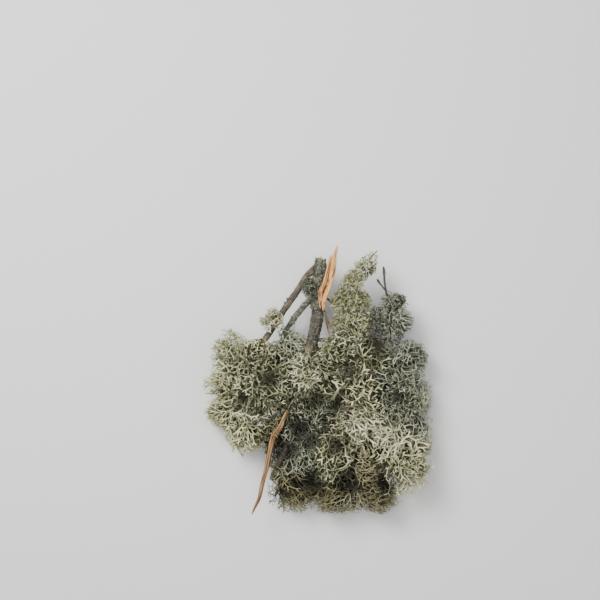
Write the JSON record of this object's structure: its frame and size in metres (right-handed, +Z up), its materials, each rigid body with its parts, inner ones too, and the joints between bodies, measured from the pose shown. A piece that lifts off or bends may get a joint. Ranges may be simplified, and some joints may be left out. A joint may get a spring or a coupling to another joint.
{
  "type": "lichen-covered twig",
  "caption": "Forked branch torn from its tree, with bark, split orange wood and bushy tufts of antler-lobed grey-green lichen, lying on a surface.",
  "frame": {"origin": "middle of the footprint of the lying branch, on the surface that it rests on", "axes": "+Y along the branch towards its torn end, +X to the right seen from above, +Z up"},
  "size_m": [0.2504, 0.284, 0.0669],
  "materials": {
    "bark_brown": "matte",
    "bark_grey": "matte",
    "lichen_cream": "matte",
    "lichen_grey_green": "matte",
    "lichen_olive": "matte",
    "lichen_yellow_green": "matte",
    "torn_wood": "matte"
  },
  "bodies": {
    "root": {"brown_limb": "bark_brown", "cross_limb": "bark_grey", "down_twig_1": "bark_grey", "down_twig_2": "bark_grey", "grey_limb": "bark_grey", "lichen_brown_limb_1": "lichen_cream", "lichen_brown_limb_2": "lichen_cream", "lichen_brown_limb_3": "lichen_cream", "lichen_brown_limb_4": "lichen_yellow_green", "lichen_brown_limb_5": "lichen_yellow_green", "lichen_brown_limb_6": "lichen_yellow_green", "lichen_brown_limb_7": "lichen_yellow_green", "lichen_brown_limb_8": "lichen_yellow_green", "lichen_brown_limb_9": "lichen_yellow_green", "lichen_cross_limb_1": "lichen_yellow_green", "lichen_down_twig_1_1": "lichen_cream", "lichen_down_twig_1_2": "lichen_cream", "lichen_down_twig_1_3": "lichen_cream", "lichen_down_twig_1_4": "lichen_cream", "lichen_down_twig_1_5": "lichen_olive", "lichen_down_twig_1_6": "lichen_cream", "lichen_down_twig_1_7": "lichen_olive", "lichen_down_twig_1_8": "lichen_olive", "lichen_down_twig_2_1": "lichen_grey_green", "lichen_down_twig_2_2": "lichen_grey_green", "lichen_down_twig_2_3": "lichen_grey_green", "lichen_down_twig_2_4": "lichen_cream", "lichen_down_twig_2_5": "lichen_grey_green", "lichen_down_twig_2_6": "lichen_grey_green", "lichen_down_twig_2_7": "lichen_grey_green", "lichen_grey_limb_1": "lichen_grey_green", "lichen_lower_stem_1": "lichen_cream", "lichen_lower_stem_2": "lichen_yellow_green", "lichen_lower_stem_3": "lichen_yellow_green", "lichen_lower_stem_4": "lichen_grey_green", "lichen_lower_stem_5": "lichen_yellow_green", "lichen_lower_stem_6": "lichen_cream", "lichen_lower_stem_7": "lichen_yellow_green", "lichen_lower_stem_8": "lichen_olive", "lichen_lower_stem_9": "lichen_yellow_green", "lichen_main_stem_1": "lichen_grey_green", "lichen_upright_a_1": "lichen_yellow_green", "lichen_upright_a_2": "lichen_yellow_green", "lichen_upright_a_3": "lichen_yellow_green", "lichen_upright_a_4": "lichen_yellow_green", "lichen_upright_a_5": "lichen_yellow_green", "lichen_upright_a_6": "lichen_yellow_green", "lichen_upright_b_1": "lichen_grey_green", "lichen_upright_b_2": "lichen_grey_green", "lichen_upright_b_3": "lichen_grey_green", "long_splinter": "torn_wood", "lower_stem": "bark_brown", "main_stem": "bark_grey", "peeled_strip_1": "bark_brown", "peeled_strip_2": "bark_brown", "thin_twig": "bark_grey", "torn_slat_long": "torn_wood", "torn_slat_short": "torn_wood", "upright_a": "bark_grey", "upright_b": "bark_grey"}
  },
  "joints": []
}
